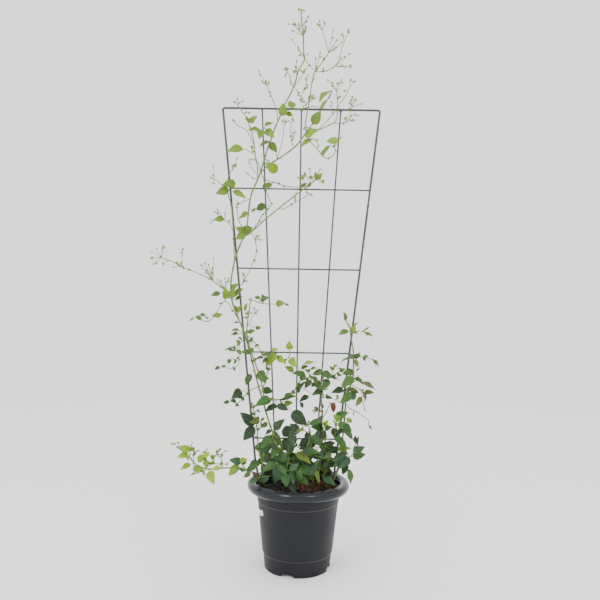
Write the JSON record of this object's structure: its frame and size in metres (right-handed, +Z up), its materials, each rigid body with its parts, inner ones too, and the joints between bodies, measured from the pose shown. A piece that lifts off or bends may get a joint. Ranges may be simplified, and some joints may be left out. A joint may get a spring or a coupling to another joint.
{
  "type": "potted clematis on wire trellis",
  "caption": "Climbing clematis in bud on a fan-shaped wire trellis, rooted in a round black nursery pot of bark potting mix.",
  "frame": {"origin": "middle of the pot's foot, on the surface it stands on", "axes": "+Z up, -Y towards the viewer of the picture, +X to the viewer's right; the trellis stands in the XZ plane"},
  "size_m": [0.5634, 0.2484, 1.366],
  "materials": {
    "pot": "satin black moulded plastic",
    "label": "blank white sticker",
    "potting_mix": "dark bark and peat, matte",
    "trellis_wire": "grey-green plastic-coated wire",
    "foliage": "soft sheen of leaves",
    "young_foliage": "soft sheen of young leaves"
  },
  "bodies": {
    "root": {"pot": "pot", "pot_label": "label", "potting_mix": "potting_mix", "trellis_frame": "trellis_wire", "trellis_upright_1": "trellis_wire", "trellis_upright_2": "trellis_wire", "trellis_upright_3": "trellis_wire", "trellis_crossbar_1": "trellis_wire", "trellis_crossbar_2": "trellis_wire", "trellis_crossbar_3": "trellis_wire", "trellis_crossbar_4": "trellis_wire", "main_vine": "foliage", "left_stem": "young_foliage", "trailing_branch": "foliage", "upright_stem": "foliage", "centre_stem": "foliage", "front_stem": "foliage", "yellow_stem": "young_foliage", "right_inner_stem": "foliage", "right_front_stem": "foliage", "right_leg_vine": "foliage", "back_stem_left": "foliage", "back_stem_right": "foliage"}
  },
  "joints": []
}
